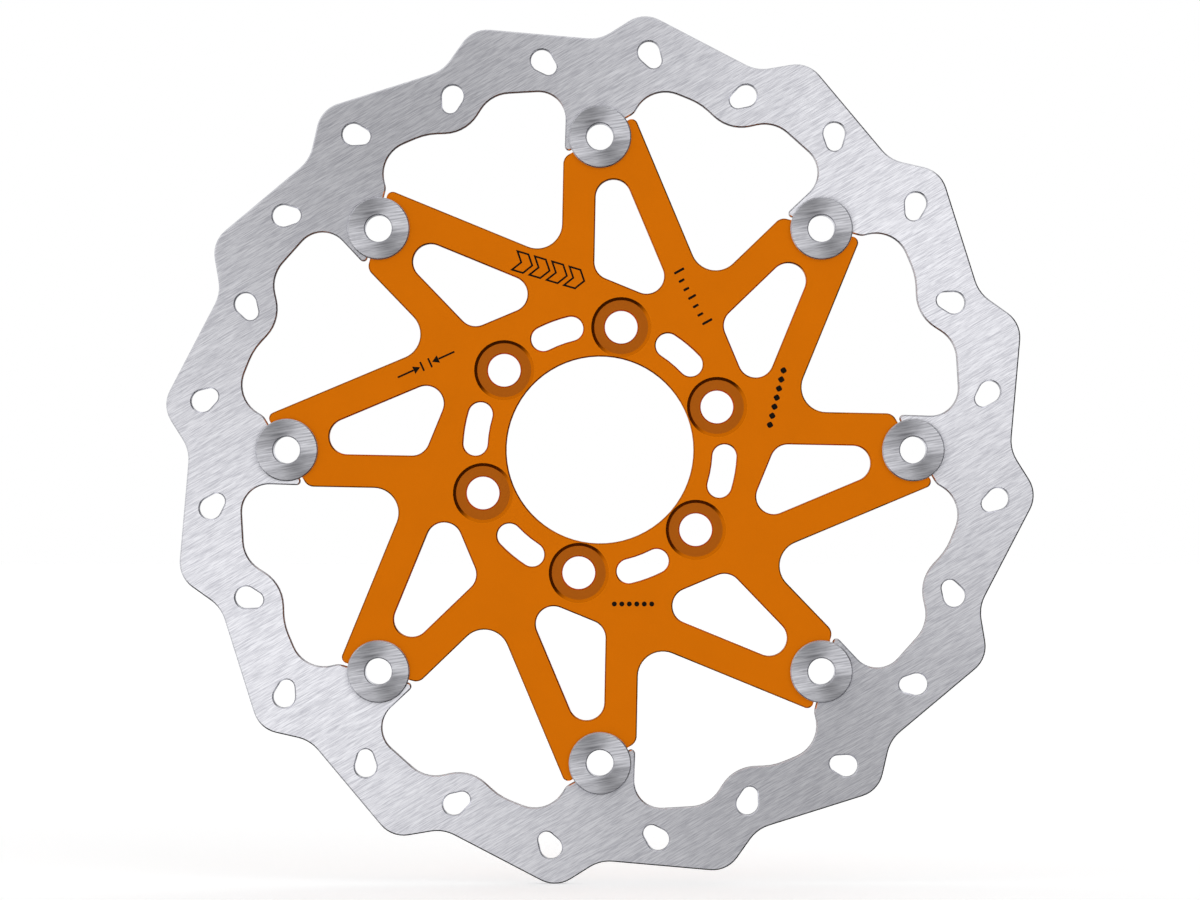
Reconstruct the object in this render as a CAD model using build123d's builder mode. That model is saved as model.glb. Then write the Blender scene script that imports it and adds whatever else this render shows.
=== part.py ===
"""Floating brake disc for a motorcycle front wheel, in millimetres.

The disc stands upright like a wheel. Its axis is Y, the outer face looks towards -Y and the hub
side towards +Y. The origin is the centre of the carrier's flat back face, which meets the hub.
Heights are counted from that face towards the outer side, so they run along -Y.
"""

import math
import os

from build123d import *

# Overall sizes
outer_diameter = 280.0  # over the tips of the rim's waves
ring_thickness = 4.0
button_count = 8
button_circle_radius = 100.5  # where the bobbins stand

# Rim of the brake ring: round tips and round valleys joined by straight flanks
wave_count = 16
wave_depth = 7.9  # from the tips to the bottoms of the valleys
tip_radius = 9.7
valley_radius = 11.8
tip_angle = 6.4  # clock angle of the first tip
valley_angle = -1.2  # clock angle of the first valley

# Inner edge of the brake ring between two tabs: corner depth below the rim, clock angle, rounding
pocket_corners = [
    (21.4, 8.0, 10.5),
    (24.3, 16.1, 19.5),
    (29.6, 22.1, 13.0),
    (20.6, 27.9, 11.0),
    (24.0, 39.7, 8.8),
]

# Tabs of the ring and arms of the carrier meet along a slanted parting line at each bobbin
parting_angle = 30.0
parting_gap = 0.95
arm_face_offset = 0.1  # the arm's face stands this far above the bobbin's centre
tab_left = 12.5  # from the bobbin's centre along the parting line
tab_right = 13.2
tab_left_rounding = 1.3
tab_right_rounding = 4.0
arm_left = 13.5
arm_right = 12.9
arm_left_rounding = 3.5
arm_right_rounding = 2.0

# Vent holes: the hull of a large and a small circle, in three rows of eight
vent_large_radius = 3.5
vent_small_radius = 2.6
vent_spacing = 3.0
vent_lean = 38.0
vent_rows = [(11.4, 7.0, 1), (13.6, 36.5, 1), (17.0, 22.4, -1)]  # depth, clock angle, lean side

# Carrier arms and the windows inside them
notch_corner_radius = 62.1  # where the edges of neighbouring arms would cross
notch_corner_angle = -11.5
notch_rounding = 8.0
rib_width = 10.6  # left standing on both sides of a window
window_rounding = 5.7

# Hub end of the carrier
bore_diameter = 60.0
bore_lead_in = 0.5
bolt_count = 6
bolt_circle_diameter = 80.0
bolt_hole_diameter = 10.5
bolt_phase = 9.8  # clock angle of the first bolt
counterbore_diameter = 19.3  # at its mouth
counterbore_floor_diameter = 17.3
counterbore_depth = 0.9
bolt_hole_chamfer = 0.35  # where a hole opens in the floor of its counterbore
slot_width = 7.8
slot_sweep = 13.6  # angle between the centres of a slot's round ends

# Bobbin and what it holds behind the disc
flange_diameter = 20.0
flange_thickness = 1.6
barrel_diameter = 12.0
bobbin_hole_diameter = 8.6
seat_clearance = 0.06  # between the barrel and its half-moon seats
ring_float = 0.25  # free play on each side of the ring between the flange and the washer
face_clearance = 0.05  # between the carrier's arms and the faces that clamp them
spot_face_depth = 0.6
spot_face_clearance = 1.5
washer_diameter = 18.0
washer_thickness = 1.0
washer_chamfer = 0.25
sliding_clearance = 0.1  # of the rings that slide over the barrel
spring_width = 2.1
spring_strip = 0.3
spring_height = 1.0
spring_waves = 3
rest_clearance = 0.02  # between stacked rings that touch
circlip_thickness = 1.0
circlip_width = 1.7
circlip_taper = 0.3  # how much narrower the circlip is beside its gap
circlip_gap = 2.4
groove_depth = 0.25
groove_play = 0.1
ear_radius = 1.5
ear_hole_radius = 0.8
ear_lift = 0.5  # how far the ears' centres stand outside the circlip's band
barrel_end = 0.9  # barrel left beyond the groove
barrel_chamfer = 0.3
flange_chamfer = 0.35
edge_break = 0.4  # on the cut edges of the ring and the carrier
edge_tolerance = 0.001  # for telling which edges lie in a face or on a circle

# Values that follow from those above
outer_radius = outer_diameter / 2
button_pitch = 360 / button_count
wave_pitch = 360 / wave_count
tip_centre_radius = outer_radius - tip_radius
valley_centre_radius = outer_radius - wave_depth + valley_radius
barrel_radius = barrel_diameter / 2
seat_radius = barrel_radius + seat_clearance
tab_face_offset = arm_face_offset + parting_gap
clamped_thickness = ring_thickness + 2 * (ring_float - face_clearance)
carrier_thickness = clamped_thickness + spot_face_depth
clamp_front = carrier_thickness + face_clearance
clamp_back = spot_face_depth - face_clearance
ring_back = clamp_back + ring_float
washer_back = clamp_back - washer_thickness
spring_middle = washer_back - rest_clearance - spring_height / 2
circlip_front = spring_middle - spring_height / 2 - rest_clearance
circlip_back = circlip_front - circlip_thickness
groove_front = circlip_front + groove_play / 2
groove_back = circlip_back - groove_play / 2
groove_radius = barrel_radius - groove_depth
barrel_back = groove_back - barrel_end
slide_radius = barrel_radius + sliding_clearance


def clock(radius, angle):
    """Point at a radius, its angle counted clockwise from straight up."""
    turn = math.radians(angle)
    return Vector(radius * math.sin(turn), radius * math.cos(turn))


def on_parting_line(along, above, angle):
    """Point near the bobbin at a clock angle, measured along and above its parting line."""
    centre = clock(button_circle_radius, angle)
    step = Vector(along, above).rotate(Axis.Z, parting_angle - angle)
    return centre + step


def flank(from_centre, from_radius, to_centre, to_radius, side):
    """Ends of the straight line that crosses between two circles and touches both."""
    span = to_centre - from_centre
    lean = math.degrees(math.acos((from_radius + to_radius) / span.length))
    reach = span.normalized().rotate(Axis.Z, side * lean)
    return from_centre + reach * from_radius, to_centre - reach * to_radius


def crossing(start_a, end_a, start_b, end_b):
    """Point where two straight lines, each through two points, cross."""
    along_a = end_a - start_a
    along_b = end_b - start_b
    share = (start_b - start_a).cross(along_b).Z / along_a.cross(along_b).Z
    return start_a + along_a * share


def edges_at(part, height):
    """Edges of a plate that lie in its face at a height."""
    return part.edges().filter_by_position(Axis.Y, -height - edge_tolerance, -height + edge_tolerance)


def is_arc(edge, radius):
    """Whether an edge is an arc of the given radius."""
    return edge.geom_type == GeomType.CIRCLE and math.isclose(edge.radius, radius, abs_tol=edge_tolerance)


button_angles = [number * button_pitch for number in range(button_count)]
os.makedirs("parts", exist_ok=True)


# Brake ring
with BuildPart() as brake_ring:
    with BuildSketch(Plane.XZ.offset(ring_back)) as ring_outline:
        with BuildLine():
            flanks = []
            for number in range(wave_count):
                valley = clock(valley_centre_radius, number * wave_pitch + valley_angle)
                tip = clock(tip_centre_radius, number * wave_pitch + tip_angle)
                next_valley = clock(valley_centre_radius, (number + 1) * wave_pitch + valley_angle)
                flanks.append(flank(valley, valley_radius, tip, tip_radius, -1))
                flanks.append(flank(tip, tip_radius, next_valley, valley_radius, 1))
            for straight, following in zip(flanks, flanks[1:] + flanks[:1]):
                Line(*straight)
                TangentArc(straight[1], following[0], tangent=straight[1] - straight[0])
        make_face()

        with BuildLine(mode=Mode.PRIVATE) as inner_edge:
            corners = []
            roundings = []
            for angle in button_angles:
                corners.append(on_parting_line(-tab_left, tab_face_offset, angle))
                corners.append(on_parting_line(tab_right, tab_face_offset, angle))
                roundings += [tab_left_rounding, tab_right_rounding]
                for depth, pocket_angle, rounding in pocket_corners:
                    corners.append(clock(outer_radius - depth, angle + pocket_angle))
                    roundings.append(rounding)
            FilletPolyline(*corners, radius=roundings, close=True)
        make_face(inner_edge.edges(), mode=Mode.SUBTRACT)

        with PolarLocations(button_circle_radius, button_count, start_angle=90):
            Circle(seat_radius, mode=Mode.SUBTRACT)

        with BuildSketch(mode=Mode.PRIVATE) as vent:
            Circle(vent_large_radius)
            with Locations((-vent_spacing, 0)):
                Circle(vent_small_radius)
            make_hull()
        for depth, angle, side in vent_rows:
            with PolarLocations(outer_radius - depth, button_count, start_angle=90 - angle):
                add(vent.sketch, rotation=side * vent_lean, mode=Mode.SUBTRACT)
    extrude(amount=ring_thickness)
    for height in (ring_back, ring_back + ring_thickness):
        rims = edges_at(brake_ring, height)
        chamfer(rims.filter_by(lambda edge: not is_arc(edge, seat_radius)), edge_break)

brake_ring.part.label = "brake_ring"
export_step(brake_ring.part, "parts/brake_ring.step")


# Carrier
with BuildPart() as carrier:
    with BuildSketch(Plane.XZ) as carrier_outline:
        with BuildLine():
            corners = []
            roundings = []
            for angle in button_angles:
                corners.append(clock(notch_corner_radius, angle + notch_corner_angle))
                corners.append(on_parting_line(-arm_left, arm_face_offset, angle))
                corners.append(on_parting_line(arm_right, arm_face_offset, angle))
                roundings += [notch_rounding, arm_left_rounding, arm_right_rounding]
            FilletPolyline(*corners, radius=roundings, close=True)
        make_face()

        with PolarLocations(button_circle_radius, button_count, start_angle=90):
            Circle(seat_radius, mode=Mode.SUBTRACT)

        # A window's sides follow the arm's two edges, and its floor is the neighbour's edge
        left_foot = clock(notch_corner_radius, notch_corner_angle)
        right_foot = clock(notch_corner_radius, notch_corner_angle + button_pitch)
        left_tip = on_parting_line(-arm_left, arm_face_offset, 0)
        right_tip = on_parting_line(arm_right, arm_face_offset, 0)
        neighbour_tip = on_parting_line(arm_right, arm_face_offset, -button_pitch)
        left_shift = (left_tip - left_foot).normalized().rotate(Axis.Z, -90) * rib_width
        right_shift = (right_tip - right_foot).normalized().rotate(Axis.Z, 90) * rib_width
        left_side = (left_foot + left_shift, left_tip + left_shift)
        right_side = (right_foot + right_shift, right_tip + right_shift)
        floor = (left_foot, neighbour_tip)
        with BuildSketch(mode=Mode.PRIVATE) as window:
            with BuildLine():
                FilletPolyline(
                    crossing(*left_side, *floor),
                    crossing(*left_side, *right_side),
                    crossing(*right_side, *floor),
                    radius=window_rounding,
                    close=True,
                )
            make_face()
        with PolarLocations(0, button_count):
            add(window.sketch, mode=Mode.SUBTRACT)

        slot_start = -slot_sweep / 2
        with BuildLine(mode=Mode.PRIVATE) as slot_line:
            CenterArc((0, 0), bolt_circle_diameter / 2, slot_start, slot_sweep)
        slot_phase = 90 - bolt_phase - 180 / bolt_count
        with PolarLocations(0, bolt_count, start_angle=slot_phase):
            SlotArc(slot_line.edge(), slot_width, mode=Mode.SUBTRACT)

        Circle(bore_diameter / 2, mode=Mode.SUBTRACT)
    extrude(amount=carrier_thickness)
    front_edges = edges_at(carrier, carrier_thickness)
    chamfer(front_edges.filter_by(lambda edge: not is_arc(edge, seat_radius)), edge_break)
    back_edges = edges_at(carrier, 0).filter_by(lambda edge: not is_arc(edge, seat_radius))
    bore_rim = back_edges.filter_by(lambda edge: is_arc(edge, bore_diameter / 2))
    chamfer(back_edges.filter_by(lambda edge: not is_arc(edge, bore_diameter / 2)), edge_break)
    chamfer(bore_rim, bore_lead_in)

    with BuildSketch(Plane.XZ):
        with PolarLocations(button_circle_radius, button_count, start_angle=90):
            Circle(washer_diameter / 2 + spot_face_clearance)
    extrude(amount=spot_face_depth, mode=Mode.SUBTRACT)

    with Locations(Plane.XZ.offset(carrier_thickness)):
        with PolarLocations(bolt_circle_diameter / 2, bolt_count, start_angle=90 - bolt_phase):
            Hole(bolt_hole_diameter / 2)
            Cone(
                counterbore_floor_diameter / 2,
                counterbore_diameter / 2,
                counterbore_depth,
                align=(Align.CENTER, Align.CENTER, Align.MAX),
                mode=Mode.SUBTRACT,
            )
    floor_edges = edges_at(carrier, carrier_thickness - counterbore_depth)
    hole_rims = floor_edges.filter_by(lambda edge: is_arc(edge, bolt_hole_diameter / 2))
    chamfer(hole_rims, bolt_hole_chamfer)

carrier.part.label = "carrier"
export_step(carrier.part, "parts/carrier.step")


# Eight bobbin stacks, counted clockwise from the top
for number, angle in enumerate(button_angles, start=1):
    centre = clock(button_circle_radius, angle)
    outward = Vector(centre.X, 0, centre.Y).normalized()
    seat = Plane(origin=(centre.X, 0, centre.Y), x_dir=outward, z_dir=(0, -1, 0))

    with BuildPart() as bobbin:
        with BuildSketch(seat.offset(barrel_back)):
            Circle(barrel_radius)
        extrude(amount=clamp_front - barrel_back)
        chamfer(bobbin.edges().sort_by(Axis.Y)[-1], barrel_chamfer)
        with BuildSketch(seat.offset(clamp_front)):
            Circle(flange_diameter / 2)
        extrude(amount=flange_thickness)
        chamfer(bobbin.edges().sort_by(Axis.Y)[0], flange_chamfer)
        with BuildSketch(seat.offset(groove_back)):
            Circle(flange_diameter / 2)
            Circle(groove_radius, mode=Mode.SUBTRACT)
        extrude(amount=groove_front - groove_back, mode=Mode.SUBTRACT)
        with BuildSketch(seat.offset(barrel_back)):
            Circle(bobbin_hole_diameter / 2)
        extrude(amount=clamp_front + flange_thickness - barrel_back, mode=Mode.SUBTRACT)
        chamfer(bobbin.edges().group_by(Axis.Y)[0].sort_by(SortBy.LENGTH)[0], flange_chamfer)
        chamfer(bobbin.edges().group_by(Axis.Y)[-1].sort_by(SortBy.LENGTH)[0], barrel_chamfer)
    bobbin.part.label = f"bobbin_{number}"
    export_step(bobbin.part, f"parts/bobbin_{number}.step")

    with BuildPart() as thrust_washer:
        with BuildSketch(seat.offset(washer_back)):
            Circle(washer_diameter / 2)
            Circle(slide_radius, mode=Mode.SUBTRACT)
        extrude(amount=washer_thickness)
        rims = thrust_washer.edges().filter_by(GeomType.CIRCLE)
        chamfer(rims.sort_by(SortBy.LENGTH)[-2:], washer_chamfer)
    thrust_washer.part.label = f"thrust_washer_{number}"
    export_step(thrust_washer.part, f"parts/thrust_washer_{number}.step")

    with BuildPart() as wave_spring:
        spring_edges = []
        for radius in (slide_radius, slide_radius + spring_width):
            with BuildLine(seat.offset(spring_middle)) as spring_edge:
                crests = []
                for step in range(spring_waves * 8):
                    turn = 2 * math.pi * step / (spring_waves * 8)
                    lift = (spring_height - spring_strip) / 2 * math.cos(spring_waves * turn)
                    crests.append((radius * math.cos(turn), radius * math.sin(turn), lift))
                Spline(*crests, periodic=True)
            spring_edges.append(spring_edge.edge())
        thicken(Face.make_surface_from_curves(*spring_edges), amount=spring_strip / 2, both=True)
    wave_spring.part.label = f"wave_spring_{number}"
    export_step(wave_spring.part, f"parts/wave_spring_{number}.step")

    with BuildPart() as circlip:
        band_radius = groove_radius + circlip_width
        ear_radius_out = band_radius + ear_lift
        ear_angle = math.degrees(math.asin((circlip_gap / 2 + ear_radius) / ear_radius_out))
        with BuildSketch(seat.offset(circlip_back)):
            with Locations((circlip_taper, 0)):
                Circle(band_radius)
            with PolarLocations(ear_radius_out, 2, start_angle=180 - ear_angle,
                                angular_range=2 * ear_angle, endpoint=True):
                Circle(ear_radius)
            Circle(groove_radius + rest_clearance, mode=Mode.SUBTRACT)
            with Locations((-ear_radius_out, 0)):
                Rectangle(2 * ear_radius_out, circlip_gap, mode=Mode.SUBTRACT)
            with PolarLocations(ear_radius_out, 2, start_angle=180 - ear_angle,
                                angular_range=2 * ear_angle, endpoint=True):
                Circle(ear_hole_radius, mode=Mode.SUBTRACT)
        extrude(amount=circlip_thickness)
    circlip.part.label = f"circlip_{number}"
    export_step(circlip.part, f"parts/circlip_{number}.step")
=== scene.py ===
import math
import bpy
from mathutils import Matrix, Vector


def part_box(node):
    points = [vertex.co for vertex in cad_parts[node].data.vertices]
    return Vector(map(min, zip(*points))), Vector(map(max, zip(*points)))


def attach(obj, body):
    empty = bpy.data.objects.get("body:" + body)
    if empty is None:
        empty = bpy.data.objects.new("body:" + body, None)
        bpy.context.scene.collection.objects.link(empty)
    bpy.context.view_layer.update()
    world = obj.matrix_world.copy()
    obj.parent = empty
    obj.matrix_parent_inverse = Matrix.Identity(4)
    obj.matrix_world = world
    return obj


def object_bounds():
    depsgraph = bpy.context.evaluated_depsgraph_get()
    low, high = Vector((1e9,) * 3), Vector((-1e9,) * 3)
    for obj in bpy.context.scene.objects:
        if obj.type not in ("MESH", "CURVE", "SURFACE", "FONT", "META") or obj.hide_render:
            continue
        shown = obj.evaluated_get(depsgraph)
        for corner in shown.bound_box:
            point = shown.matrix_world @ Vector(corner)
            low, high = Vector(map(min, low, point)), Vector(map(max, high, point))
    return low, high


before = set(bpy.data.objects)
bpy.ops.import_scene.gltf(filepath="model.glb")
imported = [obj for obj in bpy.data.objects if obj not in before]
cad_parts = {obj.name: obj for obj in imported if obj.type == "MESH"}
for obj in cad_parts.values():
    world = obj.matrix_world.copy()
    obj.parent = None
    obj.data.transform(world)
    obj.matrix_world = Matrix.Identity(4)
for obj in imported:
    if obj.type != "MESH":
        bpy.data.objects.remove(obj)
cadLow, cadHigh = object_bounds()
scene = bpy.context.scene
stackCount = 8
axle = (0, 1, 0)
acrossDisc = (1, 0, 1)  # takes out the part of a direction that runs along the axle
noiseSpan = (0.3, 0.7)  # most of a noise pattern lies between these
# a surface counts as an edge break, or as a wall, when it faces along the axle less than this
edgeLook = {"flatness": 0.95, "wallFlatness": 0.3}
print("frame loaded,", len(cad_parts), "nodes")


# square on to the outer face, far enough off for a long lens
cameraLook = {"lens": 200, "sensor": 36, "wideOnRing": 0.385, "farClip": 60}


def makeCamera(look):
    bpy.ops.object.camera_add(rotation=(math.pi / 2, 0, 0))
    camera = bpy.context.object
    camera.name = "squareOnCamera"
    camera.data.lens = look["lens"]
    camera.data.sensor_width = look["sensor"]
    camera.data.clip_end = look["farClip"]
    distance = look["lens"] * look["wideOnRing"] / look["sensor"]
    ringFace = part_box("brake_ring")[0].y
    camera.location = (0, ringFace - distance, 0)
    scene.camera = camera


makeCamera(cameraLook)
print("camera made")


def feed(tree, socket, value):
    # a socket is linked, anything else is its plain value
    if isinstance(value, bpy.types.NodeSocket):
        tree.links.new(value, socket)
    elif value is not None:
        socket.default_value = value


def mathNode(tree, operation, first, second=None, third=None):
    made = tree.nodes.new("ShaderNodeMath")
    made.operation = operation
    for socket, value in zip(made.inputs, (first, second, third)):
        feed(tree, socket, value)
    return made.outputs["Value"]


def vectorNode(tree, operation, first, second=None, scale=None):
    # the scale's own socket is the fourth, and has no name in the other operations
    made = tree.nodes.new("ShaderNodeVectorMath")
    made.operation = operation
    for socket, value in zip(made.inputs, (first, second, None, scale)):
        feed(tree, socket, value)
    return made.outputs["Value" if operation in ("DOT_PRODUCT", "LENGTH") else "Vector"]


def rangeNode(tree, value, fromSpan, toSpan, smooth=False):
    made = tree.nodes.new("ShaderNodeMapRange")
    made.interpolation_type = "SMOOTHSTEP" if smooth else "LINEAR"
    for socket, number in zip(made.inputs, (value, *fromSpan, *toSpan)):
        feed(tree, socket, number)
    return made.outputs["Result"]


def mixColour(tree, amount, first, second):
    # sockets 6 and 7 and output 2 are the Mix node's own for colours
    made = tree.nodes.new("ShaderNodeMix")
    made.data_type = "RGBA"
    feed(tree, made.inputs[0], amount)
    feed(tree, made.inputs[6], (*first, 1))
    feed(tree, made.inputs[7], (*second, 1))
    return made.outputs[2]


def mixValue(tree, amount, first, second):
    # socket 1 is the Mix node's amount for vectors, and keeps its own value
    made = tree.nodes.new("ShaderNodeMix")
    for socket, value in zip(made.inputs, (amount, None, first, second)):
        feed(tree, socket, value)
    return made.outputs[0]


def noiseNode(tree, vector, detail, roughness):
    made = tree.nodes.new("ShaderNodeTexNoise")
    made.inputs["Scale"].default_value = 1
    made.inputs["Detail"].default_value = detail
    made.inputs["Roughness"].default_value = roughness
    tree.links.new(vector, made.inputs["Vector"])
    return made.outputs["Fac"]


def placeNode(tree, centre=(0, 0, 0)):
    # the point on the piece, measured from a centre
    coordinates = tree.nodes.new("ShaderNodeTexCoord")
    return vectorNode(tree, "SUBTRACT", coordinates.outputs["Object"], tuple(centre))


def speckle(tree, place, size, detail=3, roughness=0.5):
    return noiseNode(tree, vectorNode(tree, "SCALE", place, scale=1 / size), detail, roughness)


def brushLines(tree, place, angle, grain, detail=3, roughness=0.6):
    # grain is the size of the pattern along the lines, along the axle and across the lines
    made = tree.nodes.new("ShaderNodeMapping")
    made.vector_type = "TEXTURE"
    made.inputs["Rotation"].default_value = (0, -math.radians(angle), 0)
    made.inputs["Scale"].default_value = grain
    tree.links.new(place, made.inputs["Vector"])
    return noiseNode(tree, made.outputs["Vector"], detail, roughness)


def twoTones(tree, pattern, look):
    # the dark tone where the pattern is low and the light one where it is high
    made = tree.nodes.new("ShaderNodeValToRGB")
    tree.links.new(pattern, made.inputs[0])
    low, high = made.color_ramp.elements
    low.position, high.position = look["darkAt"], look["lightAt"]
    low.color, high.color = (*look["dark"], 1), (*look["light"], 1)
    return made.outputs["Color"]


def swingAround(tree, pattern, middle, swing):
    # the middle value plus the first swing where the pattern is low, and the second where high
    return rangeNode(tree, pattern, noiseSpan, (middle + swing[0], middle + swing[1]))


def turnedAway(tree, flatness):
    # 1 where the surface turns away from the faces that look along the axle
    normal = tree.nodes.new("ShaderNodeTexCoord").outputs["Normal"]
    facing = mathNode(tree, "ABSOLUTE", vectorNode(tree, "DOT_PRODUCT", normal, axle))
    return mathNode(tree, "LESS_THAN", facing, flatness)


def onWalls(tree, elsewhere, there):
    return mixValue(tree, turnedAway(tree, edgeLook["wallFlatness"]), elsewhere, there)


def glossAcross(tree, place):
    # turning marks run round the centre, so the gloss spreads away from it, and on a wall it
    # spreads along the axle
    outward = vectorNode(tree, "NORMALIZE", vectorNode(tree, "MULTIPLY", place, acrossDisc))
    onWall = turnedAway(tree, edgeLook["wallFlatness"])
    onFace = vectorNode(tree, "SCALE", outward, scale=mathNode(tree, "SUBTRACT", 1, onWall))
    spread = vectorNode(tree, "ADD", onFace, vectorNode(tree, "SCALE", axle, scale=onWall))
    made = tree.nodes.new("ShaderNodeVectorTransform")
    made.vector_type = "VECTOR"
    made.convert_from, made.convert_to = "OBJECT", "WORLD"
    tree.links.new(spread, made.inputs[0])
    return made.outputs[0]


def bumpNode(tree, height, depth):
    made = tree.nodes.new("ShaderNodeBump")
    made.inputs["Distance"].default_value = depth
    tree.links.new(height, made.inputs["Height"])
    return made.outputs["Normal"]


def newMaterial(name, look):
    material = bpy.data.materials.new(name)
    material.use_nodes = True
    shader = material.node_tree.nodes["Principled BSDF"]
    shader.inputs["Metallic"].default_value = look["metal"]
    shader.inputs["Roughness"].default_value = look["rough"]
    shader.inputs["Anisotropic"].default_value = look.get("brushed", 0)
    shader.inputs["Specular IOR Level"].default_value = look.get("gleam", 0.5)
    return material, material.node_tree, shader


def roughen(tree, shader, look, pattern):
    # the pattern roughens and dents the faces, and cut edges and walls have a gloss of their own
    rough = swingAround(tree, pattern, look["rough"], look["roughSwing"])
    if "edgeRough" in look:
        edge = turnedAway(tree, edgeLook["flatness"])
        rough = onWalls(tree, mixValue(tree, edge, rough, look["edgeRough"]), look["wallRough"])
    feed(tree, shader.inputs["Roughness"], rough)
    feed(tree, shader.inputs["Normal"], bumpNode(tree, pattern, look["depth"]))


def paint(node, material):
    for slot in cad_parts[node].material_slots:
        slot.material = material


ringLook = {
    "metal": 1.0, "rough": 0.44, "roughSwing": (0.06, -0.04), "brushed": 0.9,
    "dark": (0.58, 0.58, 0.63), "darkAt": 0.38, "light": (0.86, 0.86, 0.9), "lightAt": 0.59,
    "lineAngle": 31, "lines": (0.004, 0.003, 0.00022), "lineShare": 0.6,
    "fineAngle": 29, "fineLines": (0.008, 0.003, 0.00014), "fineShare": 0.4,
    "depth": 0.000004, "edgeRough": 0.15, "wallRough": 0.42, "paintedWallShade": 0.45,
}


def ringSteel(look):
    material, tree, shader = newMaterial("linishedSteel", look)
    place = placeNode(tree)
    broad = brushLines(tree, place, look["lineAngle"], look["lines"])
    fine = brushLines(tree, place, look["fineAngle"], look["fineLines"], detail=2, roughness=0.5)
    fineShare = mathNode(tree, "MULTIPLY", fine, look["fineShare"])
    lines = mathNode(tree, "MULTIPLY_ADD", broad, look["lineShare"], fineShare)
    # painted shade: the cut walls are given a darker colour than the faces
    shade = onWalls(tree, 1, look["paintedWallShade"])
    colour = vectorNode(tree, "SCALE", twoTones(tree, lines, look), scale=shade)
    feed(tree, shader.inputs["Base Color"], colour)
    feed(tree, shader.inputs["Tangent"], glossAcross(tree, place))
    roughen(tree, shader, look, lines)
    return material


paint("brake_ring", ringSteel(ringLook))
print("brake ring finished")


carrierLook = {
    "metal": 0.75, "rough": 0.42, "roughSwing": (-0.05, 0.05), "gleam": 0.1,
    # seat is the darker orange painted on the bolt seat floors as painted shade
    "orange": (0.685, 0.165, 0.0005), "seat": (0.42, 0.105, 0.005), "shadeSwing": (-0.05, 0.05),
    "grain": 0.00018, "grainShare": 0.7, "cloud": 0.012, "cloudShare": 0.3, "depth": 0.000003,
    "seatDepth": 0.0009, "seatBand": 0.0002,
    "edgeRough": 0.15, "wallRough": 0.38, "paintedWallShade": 0.55, "edgeMetal": 1.0,
}


def anodisedOrange(look):
    material, tree, shader = newMaterial("orangeAnodising", look)
    place = placeNode(tree)
    grain = speckle(tree, place, look["grain"], detail=2)
    cloud = speckle(tree, place, look["cloud"], detail=2)
    cloudShare = mathNode(tree, "MULTIPLY", cloud, look["cloudShare"])
    mottle = mathNode(tree, "MULTIPLY_ADD", grain, look["grainShare"], cloudShare)
    shade = swingAround(tree, mottle, 1, look["shadeSwing"])
    # painted shade: the cut walls get a darker orange, on top of the random mottle
    shade = mathNode(tree, "MULTIPLY", shade, onWalls(tree, 1, look["paintedWallShade"]))
    edge = turnedAway(tree, edgeLook["flatness"])
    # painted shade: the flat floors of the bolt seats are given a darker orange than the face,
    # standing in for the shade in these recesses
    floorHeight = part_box("carrier")[0].y + look["seatDepth"]
    height = vectorNode(tree, "DOT_PRODUCT", place, axle)
    offFloor = mathNode(tree, "ABSOLUTE", mathNode(tree, "SUBTRACT", height, floorHeight))
    nearFloor = mathNode(tree, "LESS_THAN", offFloor, look["seatBand"])
    seatShadeMask = mathNode(tree, "MULTIPLY", nearFloor, mathNode(tree, "SUBTRACT", 1, edge))
    colour = mixColour(tree, seatShadeMask, look["orange"], look["seat"])
    feed(tree, shader.inputs["Base Color"], vectorNode(tree, "SCALE", colour, scale=shade))
    feed(tree, shader.inputs["Metallic"], mixValue(tree, edge, look["metal"], look["edgeMetal"]))
    roughen(tree, shader, look, grain)
    return material


paint("carrier", anodisedOrange(carrierLook))
print("carrier finished")


bobbinLook = {
    "metal": 1.0, "rough": 0.46, "roughSwing": (0.05, -0.05), "brushed": 1.0,
    "dark": (0.46, 0.46, 0.495), "darkAt": 0.33, "light": (0.72, 0.72, 0.76), "lightAt": 0.64,
    "lineAngle": 10, "lines": (0.007, 0.002, 0.0004), "depth": 0.000003,
    "edgeRough": 0.2, "wallRough": 0.3,
}
washerLook = {
    "metal": 1.0, "rough": 0.38, "roughSwing": (-0.06, 0.06),
    "dark": (0.5, 0.52, 0.55), "darkAt": 0.35, "light": (0.66, 0.68, 0.71), "lightAt": 0.65,
    "grain": 0.0007, "depth": 0.000003,
}
springLook = {
    "metal": 1.0, "rough": 0.3, "roughSwing": (-0.06, 0.06),
    "dark": (0.28, 0.26, 0.25), "darkAt": 0.35, "light": (0.42, 0.4, 0.37), "lightAt": 0.65,
    "grain": 0.0009, "depth": 0.000003,
}
circlipLook = {
    "metal": 0.6, "rough": 0.5, "roughSwing": (-0.06, 0.06),
    "dark": (0.03, 0.03, 0.032), "darkAt": 0.35, "light": (0.07, 0.07, 0.075), "lightAt": 0.65,
    "grain": 0.0003, "depth": 0.000003,
}


def bobbinSteel(look, number, centre):
    # one for each bobbin, because the gloss spreads from that bobbin's own centre
    material, tree, shader = newMaterial("turnedSteel%d" % number, look)
    place = placeNode(tree, centre)
    lines = brushLines(tree, place, look["lineAngle"], look["lines"])
    feed(tree, shader.inputs["Base Color"], twoTones(tree, lines, look))
    feed(tree, shader.inputs["Tangent"], glossAcross(tree, place))
    roughen(tree, shader, look, lines)
    return material


def speckledFinish(name, look):
    material, tree, shader = newMaterial(name, look)
    grain = speckle(tree, placeNode(tree), look["grain"])
    feed(tree, shader.inputs["Base Color"], twoTones(tree, grain, look))
    roughen(tree, shader, look, grain)
    return material


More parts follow.
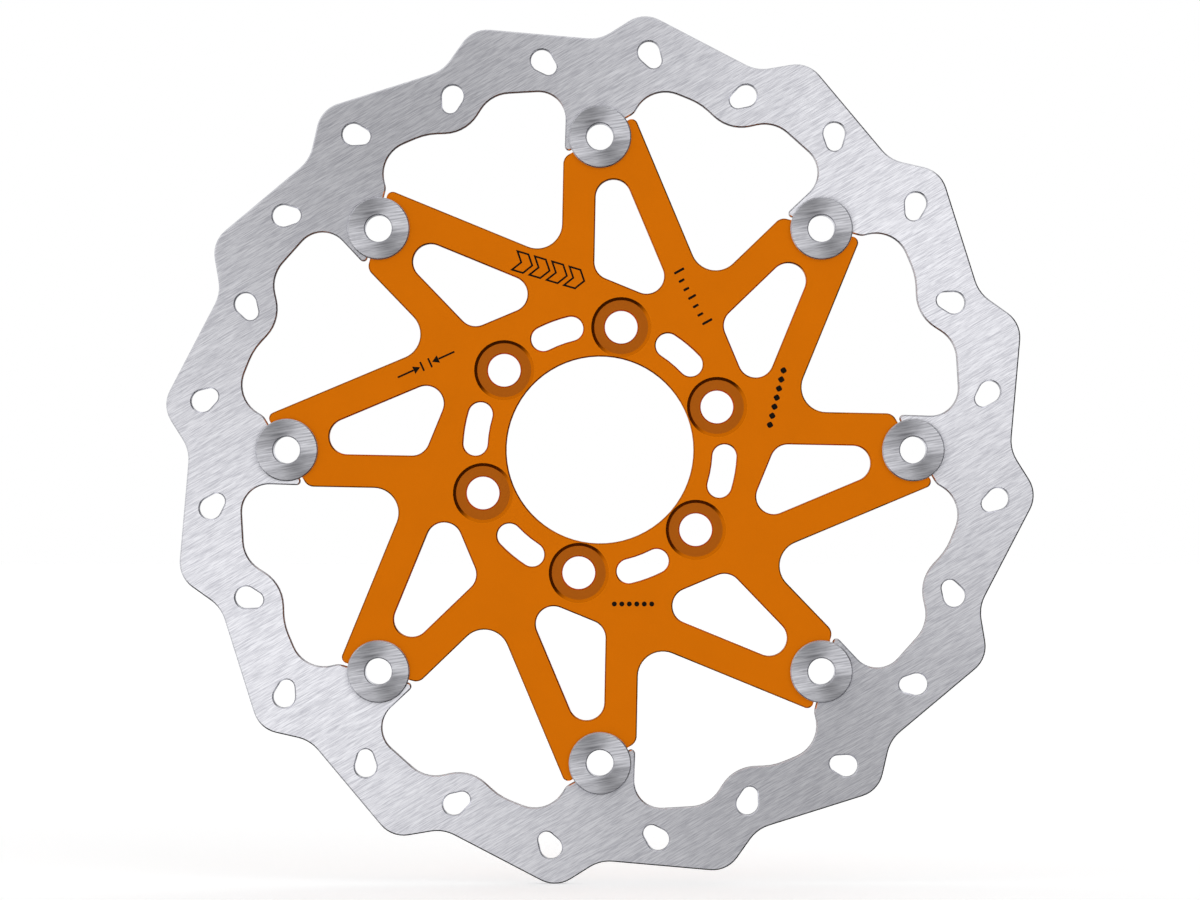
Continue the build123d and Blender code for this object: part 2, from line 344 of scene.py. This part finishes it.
zincSteel = speckledFinish("zincPlate", washerLook)
springSteel = speckledFinish("temperedSpring", springLook)
blackSteel = speckledFinish("blackPhosphate", circlipLook)
for number in range(1, stackCount + 1):
    low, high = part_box("bobbin_%d" % number)
    paint("bobbin_%d" % number, bobbinSteel(bobbinLook, number, (low + high) / 2))
    paint("thrust_washer_%d" % number, zincSteel)
    paint("wave_spring_%d" % number, springSteel)
    paint("circlip_%d" % number, blackSteel)
print("bobbin stacks finished")


# what the five marks share
markLook = {"proud": 0.00003, "sunk": 0.00001, "stroke": 0.0006, "rounding": 0.3, "facets": 3}
inkLook = {
    "metal": 0, "rough": 0.65, "roughSwing": (-0.1, 0.1), "gleam": 0.05,
    "dark": (0.004, 0.003, 0.002), "darkAt": 0.4, "light": (0.016, 0.009, 0.004), "lightAt": 0.7,
    "grain": 0.0004, "depth": 0.000004,
}
ink = speckledFinish("laserMark", inkLook)


def selectOnly(mesh, kind, wanted):
    # in edit mode, leaves only the wanted vertices or edges selected
    bpy.ops.mesh.select_mode(type=kind)
    bpy.ops.mesh.select_all(action="DESELECT")
    bpy.ops.object.mode_set(mode="OBJECT")
    for part in mesh.edges if kind == "EDGE" else mesh.vertices:
        part.select = wanted(part)
    bpy.ops.object.mode_set(mode="EDIT")


def startPlate(across, up, wide, tall):
    bpy.ops.mesh.primitive_plane_add(size=1, enter_editmode=True, location=(across, up, 0))
    bpy.ops.transform.resize(value=(wide, tall, 1))
    return bpy.context.object


def bar(across, up, wide, tall, turn=0):
    made = startPlate(across, up, wide, tall)
    rounding = min(wide, tall) * markLook["rounding"]
    bpy.ops.mesh.bevel(offset=rounding, segments=markLook["facets"], affect="VERTICES")
    bpy.ops.object.mode_set(mode="OBJECT")
    made.rotation_euler.z = math.radians(turn)
    return made


def dot(across, radius, corners, turn=0):
    place = (across, 0, 0)
    bpy.ops.mesh.primitive_circle_add(
        vertices=corners, radius=radius, fill_type="NGON", location=place)
    bpy.context.object.rotation_euler.z = math.radians(turn)
    return bpy.context.object


def chevron(across, look):
    # an outlined arrow head: a plate with its middle pushed forward and its inside taken out
    made = startPlate(across, 0, look["wide"], look["tall"])
    mesh = made.data

    def isUpright(edge):
        first, second = (mesh.vertices[index].co for index in edge.vertices)
        return abs(first.x - second.x) < abs(first.y - second.y)

    selectOnly(mesh, "EDGE", isUpright)
    bpy.ops.mesh.subdivide(number_cuts=1)
    selectOnly(mesh, "VERT", lambda corner: abs(corner.co.y) < look["tall"] / 4)
    bpy.ops.transform.translate(value=(look["point"], 0, 0))
    bpy.ops.mesh.select_mode(type="FACE")
    bpy.ops.mesh.select_all(action="SELECT")
    bpy.ops.mesh.inset(thickness=markLook["stroke"])
    bpy.ops.mesh.delete(type="FACE")
    bpy.ops.object.mode_set(mode="OBJECT")
    return made


def finishMark(name, look, strokes):
    bpy.ops.object.select_all(action="DESELECT")
    for stroke in strokes:
        stroke.select_set(True)
    bpy.context.view_layer.objects.active = strokes[0]
    bpy.ops.object.transform_apply(location=True, rotation=True, scale=True)
    bpy.ops.object.join()
    mark = bpy.context.object
    mark.name = name
    mark.data.name = name
    plate = mark.modifiers.new("plate", "SOLIDIFY")
    plate.thickness = markLook["proud"] + markLook["sunk"]
    plate.offset = 1  # all of it on the outer side
    bpy.ops.object.modifier_apply(modifier=plate.name)
    bpy.ops.object.mode_set(mode="EDIT")
    bpy.ops.mesh.select_all(action="SELECT")
    bpy.ops.mesh.remove_doubles(threshold=0.000001)
    bpy.ops.mesh.normals_make_consistent(inside=False)
    bpy.ops.object.mode_set(mode="OBJECT")
    right, up = look["place"]
    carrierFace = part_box("carrier")[0].y
    mark.matrix_world = (
        Matrix.Translation((right, carrierFace + markLook["sunk"], up))
        @ Matrix.Rotation(-math.radians(look["turn"]), 4, "Y")
        @ Matrix.Rotation(math.pi / 2, 4, "X")
    )
    bpy.ops.object.transform_apply(location=True, rotation=True, scale=True)
    mark.data.materials.clear()
    mark.data.materials.append(ink)
    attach(mark, "carrier")


def rowPlaces(count, step):
    # even steps either side of the middle of the row
    return [(number - (count - 1) / 2) * step for number in range(count)]


# place is right and up from the axle, and turn is the way the row runs, in degrees
chevronLook = {
    "place": (-0.0165, 0.0576), "turn": -16.5, "count": 4, "step": 0.0058, "shift": -0.001,
    "wide": 0.0044, "tall": 0.0068, "point": 0.0024,
}
tickLook = {
    "place": (0.0299, 0.0493), "turn": -61, "step": 0.0031, "wide": 0.0008,
    "heights": (0.0036, 0.002, 0.002, 0.0028, 0.002, 0.002, 0.0036),
}
diamondLook = {
    "place": (0.0567, 0.0168), "turn": -104, "count": 7, "step": 0.003, "side": 0.0018,
}
signLook = {
    "place": (-0.0558, 0.0274), "turn": 24.5, "shaftAt": 0.0072, "shaft": 0.0056,
    "headAt": 0.0036, "head": 0.0015, "plateAt": 0.0014, "plate": 0.0032,
}
dotLook = {
    "place": (0.0106, -0.0494), "turn": 180, "count": 6, "step": 0.0024, "radius": 0.0008,
    "corners": 20,
}


def chevronStrokes(look):
    places = rowPlaces(look["count"], look["step"])
    return [chevron(across + look["shift"], look) for across in places]


def tickStrokes(look):
    # the ticks stand on one line
    heights = look["heights"]
    places = rowPlaces(len(heights), look["step"])
    return [bar(across, (tall - max(heights)) / 2, look["wide"], tall)
            for across, tall in zip(places, heights)]


def diamondStrokes(look):
    places = rowPlaces(look["count"], look["step"])
    return [bar(across, 0, look["side"], look["side"], 45) for across in places]


def signStrokes(look):
    # two arrows that close on a plate from both sides
    strokes = []
    for side in (-1, 1):
        strokes.append(bar(side * look["shaftAt"], 0, look["shaft"], markLook["stroke"]))
        strokes.append(dot(side * look["headAt"], look["head"], 3, side * 90))
        strokes.append(bar(side * look["plateAt"], 0, markLook["stroke"], look["plate"]))
    return strokes


def dotStrokes(look):
    places = rowPlaces(look["count"], look["step"])
    return [dot(across, look["radius"], look["corners"]) for across in places]


bpy.ops.object.select_all(action="DESELECT")
finishMark("turnChevrons", chevronLook, chevronStrokes(chevronLook))
finishMark("tickRow", tickLook, tickStrokes(tickLook))
finishMark("diamondRow", diamondLook, diamondStrokes(diamondLook))
finishMark("thicknessSign", signLook, signStrokes(signLook))
finishMark("dotRow", dotLook, dotStrokes(dotLook))
print("marks finished")


roomLook = {
    "background": 1.0, "level": 1.26, "swing": 0.95, "soften": 0.05, "brightClock": 59,
    "edgeClock": 315, "edgeTurn": (-0.2, 0.4), "edgeLevels": (0.05, 1.0),
    "edgeReach": (0.74, 0.95),
}
floorLook = {"metal": 0, "rough": 0.9, "grey": 0.9, "glow": 0.34, "size": 12}


def clockVector(angle):
    # clockwise from straight up, seen from the outer side
    return math.sin(math.radians(angle)), 0, math.cos(math.radians(angle))


def makeRoom(look):
    world = bpy.data.worlds.new("softRoom")
    scene.world = world
    world.use_nodes = True
    tree = world.node_tree
    tree.nodes.clear()
    direction = tree.nodes.new("ShaderNodeTexCoord").outputs["Generated"]
    # two bright fans stand opposite each other round the axle, with two dark ones between
    brightSide = vectorNode(tree, "DOT_PRODUCT", direction, clockVector(look["brightClock"]))
    darkSide = vectorNode(tree, "DOT_PRODUCT", direction, clockVector(look["brightClock"] + 90))
    bright = mathNode(tree, "MULTIPLY", brightSide, brightSide)
    dark = mathNode(tree, "MULTIPLY", darkSide, darkSide)
    spread = mathNode(tree, "ADD", mathNode(tree, "ADD", bright, dark), look["soften"])
    swing = mathNode(tree, "DIVIDE", mathNode(tree, "SUBTRACT", bright, dark), spread)
    fans = mathNode(tree, "MULTIPLY_ADD", swing, look["swing"], look["level"])
    # far off to the side the room is bright at the upper left and dark at the lower right
    edgeSide = vectorNode(tree, "DOT_PRODUCT", direction, clockVector(look["edgeClock"]))
    edges = rangeNode(tree, edgeSide, look["edgeTurn"], look["edgeLevels"], smooth=True)
    sideways = vectorNode(tree, "LENGTH", vectorNode(tree, "MULTIPLY", direction, acrossDisc))
    share = rangeNode(tree, sideways, look["edgeReach"], (0, 1), smooth=True)
    lit = tree.nodes.new("ShaderNodeBackground")
    feed(tree, lit.inputs["Strength"], mixValue(tree, share, fans, edges))
    plain = tree.nodes.new("ShaderNodeBackground")
    plain.inputs["Color"].default_value = (1, 1, 1, 1)
    plain.inputs["Strength"].default_value = look["background"]
    seen = tree.nodes.new("ShaderNodeLightPath")
    mix = tree.nodes.new("ShaderNodeMixShader")
    tree.links.new(seen.outputs["Is Camera Ray"], mix.inputs[0])
    tree.links.new(lit.outputs[0], mix.inputs[1])
    tree.links.new(plain.outputs[0], mix.inputs[2])
    out = tree.nodes.new("ShaderNodeOutputWorld")
    tree.links.new(mix.outputs[0], out.inputs["Surface"])


def makeFloor(look):
    bpy.ops.object.select_all(action="DESELECT")
    bpy.ops.mesh.primitive_plane_add(size=look["size"], location=(0, 0, cadLow.z))
    floor = bpy.context.object
    floor.name = "paleFloor"
    material, tree, shader = newMaterial("palePaper", look)
    shader.inputs["Base Color"].default_value = (look["grey"], look["grey"], look["grey"], 1)
    shader.inputs["Emission Color"].default_value = (1, 1, 1, 1)
    shader.inputs["Emission Strength"].default_value = look["glow"]
    floor.data.materials.append(material)
    floor.visible_glossy = False  # the metal shows only the room


makeRoom(roomLook)
makeFloor(floorLook)
scene.view_settings.view_transform = "Standard"
print("room made")
